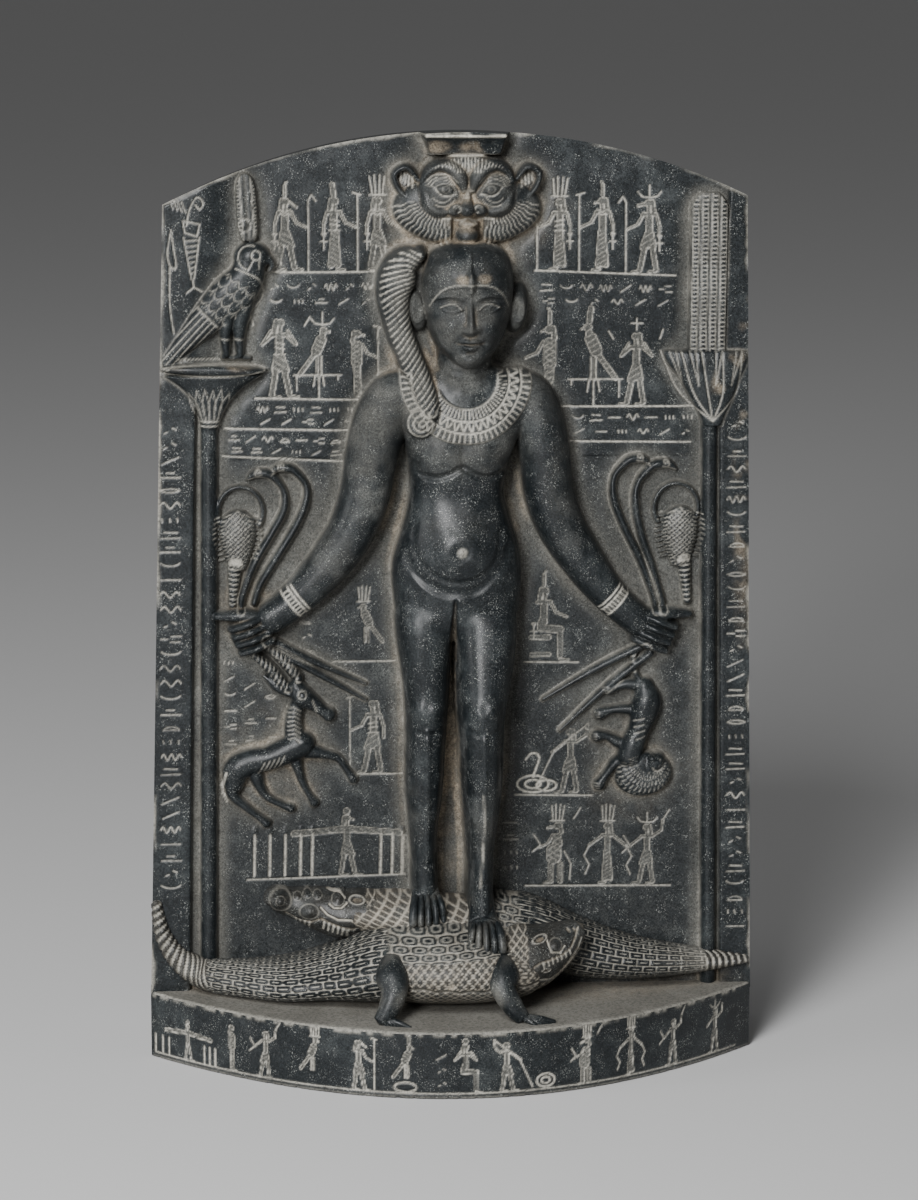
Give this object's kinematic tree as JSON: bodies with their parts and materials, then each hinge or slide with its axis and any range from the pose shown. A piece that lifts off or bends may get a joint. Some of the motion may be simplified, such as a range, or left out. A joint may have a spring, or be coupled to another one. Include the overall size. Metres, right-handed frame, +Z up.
{
  "type": "magical stele",
  "caption": "Arched stone slab on a bow-fronted base, carved in high relief with a child god standing on crocodiles under a bearded mask, holding snakes, scorpions and beasts.",
  "frame": {"origin": "middle of the underside, on the surface that it stands on", "axes": "+Z up from foot to crown, -Y the carved face, +X to the right of someone who faces it"},
  "size_m": [0.1346, 0.066, 0.205],
  "materials": {
    "stone": "dark fine-grained stone, polished on the raised forms, grey and matt in the sunk ground, with fine pale flecks"
  },
  "bodies": {
    "root": {"stele": "stone"}
  },
  "joints": []
}
